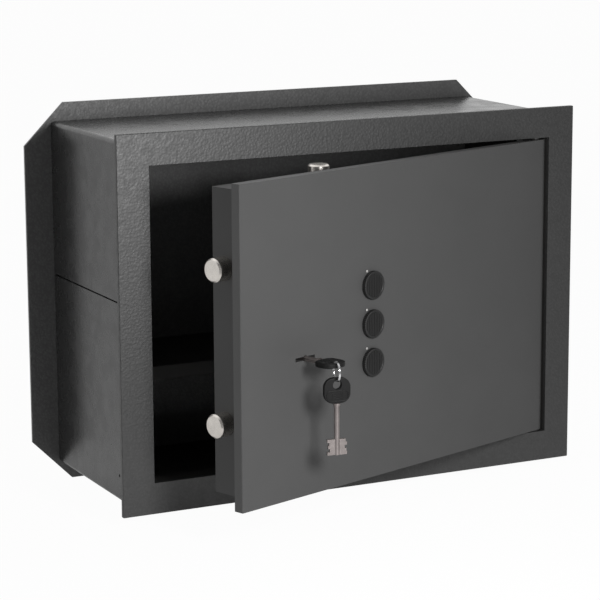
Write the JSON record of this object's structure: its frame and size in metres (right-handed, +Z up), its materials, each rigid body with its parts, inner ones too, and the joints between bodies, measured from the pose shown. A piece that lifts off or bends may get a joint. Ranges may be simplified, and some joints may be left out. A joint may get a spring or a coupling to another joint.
{
  "type": "combination safe",
  "caption": "Built-in wall safe with a flush front plate, a hinged door with key lock and three combination dials, sliding bolts, a rear anchoring flange and a shelf inside.",
  "frame": {"origin": "middle of the back plate's rear face, at the centre of the four anchor holes", "axes": "+Y points back into the wall, +X to the right seen from the front, +Z up; the front faces -Y"},
  "size_m": [0.527, 0.355, 0.38],
  "materials": {
    "front_paint": "dark grey hammered enamel, satin gloss",
    "shell_paint": "dark grey smooth enamel, semi-gloss",
    "inside_paint": "dark primer inside",
    "door_paint": "dark grey satin powder coat",
    "box_paint": "dark grey satin paint",
    "nickel": "turned steel, nickel plated",
    "bright_wire": "bright plated wire",
    "zinc": "zinc-plated pressed steel",
    "steel": "ground steel",
    "brass": "turned brass",
    "cast_case": "die-cast lock case",
    "dial_plastic": "black moulded plastic, fine ribs",
    "key_plastic": "black moulded plastic",
    "mark_white": "white enamel dot"
  },
  "bodies": {
    "safe_body": {"front_plate": "front_paint", "door_frame": "inside_paint", "upper_shell": "shell_paint", "lower_shell": "shell_paint", "joint_strips": "inside_paint", "back_plate": "shell_paint", "shelf": "inside_paint", "shelf_rails": "inside_paint", "hinge_washer": "dial_plastic"},
    "door": {"door_plate": "door_paint", "hinge_pins": "steel", "door_box": "box_paint", "box_cover": "box_paint", "cover_screws": "zinc", "bolt_guides": "zinc", "top_bolt_guide": "zinc", "guide_studs": "zinc", "stud_clips": "zinc", "index_marks": "mark_white", "lock_case": "cast_case", "case_screws": "zinc", "lock_retainer": "zinc", "spindle_bushes": "brass", "combination_bracket": "zinc", "bracket_screws": "zinc"},
    "lock_barrel": {"lock_barrel": "brass"},
    "boltwork": {"bolt_bar": "zinc", "bolt_rivets": "zinc", "upper_bolt": "nickel", "lower_bolt": "nickel"},
    "top_bolt": {"top_bolt": "nickel", "cam_pin": "zinc"},
    "key_1": {"key_1_blade": "nickel", "key_1_head": "key_plastic"},
    "key_ring": {"key_ring": "bright_wire"},
    "key_2": {"key_2_blade": "nickel", "key_2_head": "key_plastic"},
    "upper_combination": {"upper_dial": "dial_plastic", "upper_spindle": "steel", "upper_disc": "brass", "upper_disc_nut": "zinc"},
    "middle_combination": {"middle_dial": "dial_plastic", "middle_spindle": "steel", "middle_disc": "brass", "middle_disc_nut": "zinc"},
    "lower_combination": {"lower_dial": "dial_plastic", "lower_spindle": "steel", "lower_disc": "brass", "lower_disc_nut": "zinc"}
  },
  "joints": [
    {"name": "door_swing", "type": "hinge", "parent": "safe_body", "child": "door", "pos_m": [0.207, -0.186, 0], "axis": [0, 0, 1], "range_deg": [-19, 76]},
    {"name": "key_turn", "type": "hinge", "parent": "door", "child": "lock_barrel", "pos_m": [-0.10918, -0.30439, -0.0193], "axis": [0.3256, -0.9455, 0], "range_deg": [0, 180]},
    {"name": "key_withdraw", "type": "slide", "parent": "lock_barrel", "child": "key_1", "axis": [0.3256, -0.9455, 0], "range_m": [0, 0.05]},
    {"name": "ring_swivel", "type": "hinge", "parent": "key_1", "child": "key_ring", "pos_m": [-0.0973, -0.3389, -0.0193], "axis": [0, 0, 1], "range_deg": [-22, 78]},
    {"name": "key_2_swing", "type": "hinge", "parent": "key_ring", "child": "key_2", "pos_m": [-0.09828, -0.34512, -0.0335], "axis": [0.1564, 0.9877, 0], "range_deg": [-35, 35]},
    {"name": "bolt_throw", "type": "slide", "parent": "door", "child": "boltwork", "axis": [-0.9455, -0.3256, 0], "range_m": [0, 0.015]},
    {"name": "top_bolt_throw", "type": "slide", "parent": "door", "child": "top_bolt", "axis": [0, 0, 1], "range_m": [0, 0.015]},
    {"name": "upper_dial_turn", "type": "hinge", "parent": "door", "child": "upper_combination", "pos_m": [-0.0255, -0.27558, 0.036], "axis": [0.3256, -0.9455, 0], "continuous": true},
    {"name": "middle_dial_turn", "type": "hinge", "parent": "door", "child": "middle_combination", "pos_m": [-0.0255, -0.27558, -0.0005], "axis": [0.3256, -0.9455, 0], "continuous": true},
    {"name": "lower_dial_turn", "type": "hinge", "parent": "door", "child": "lower_combination", "pos_m": [-0.0255, -0.27558, -0.037], "axis": [0.3256, -0.9455, 0], "continuous": true}
  ],
  "couplings": [
    {"joint": "key_turn", "follows": "bolt_throw", "rad_per_m": 209.44},
    {"joint": "top_bolt_throw", "follows": "bolt_throw", "ratio": 1}
  ]
}
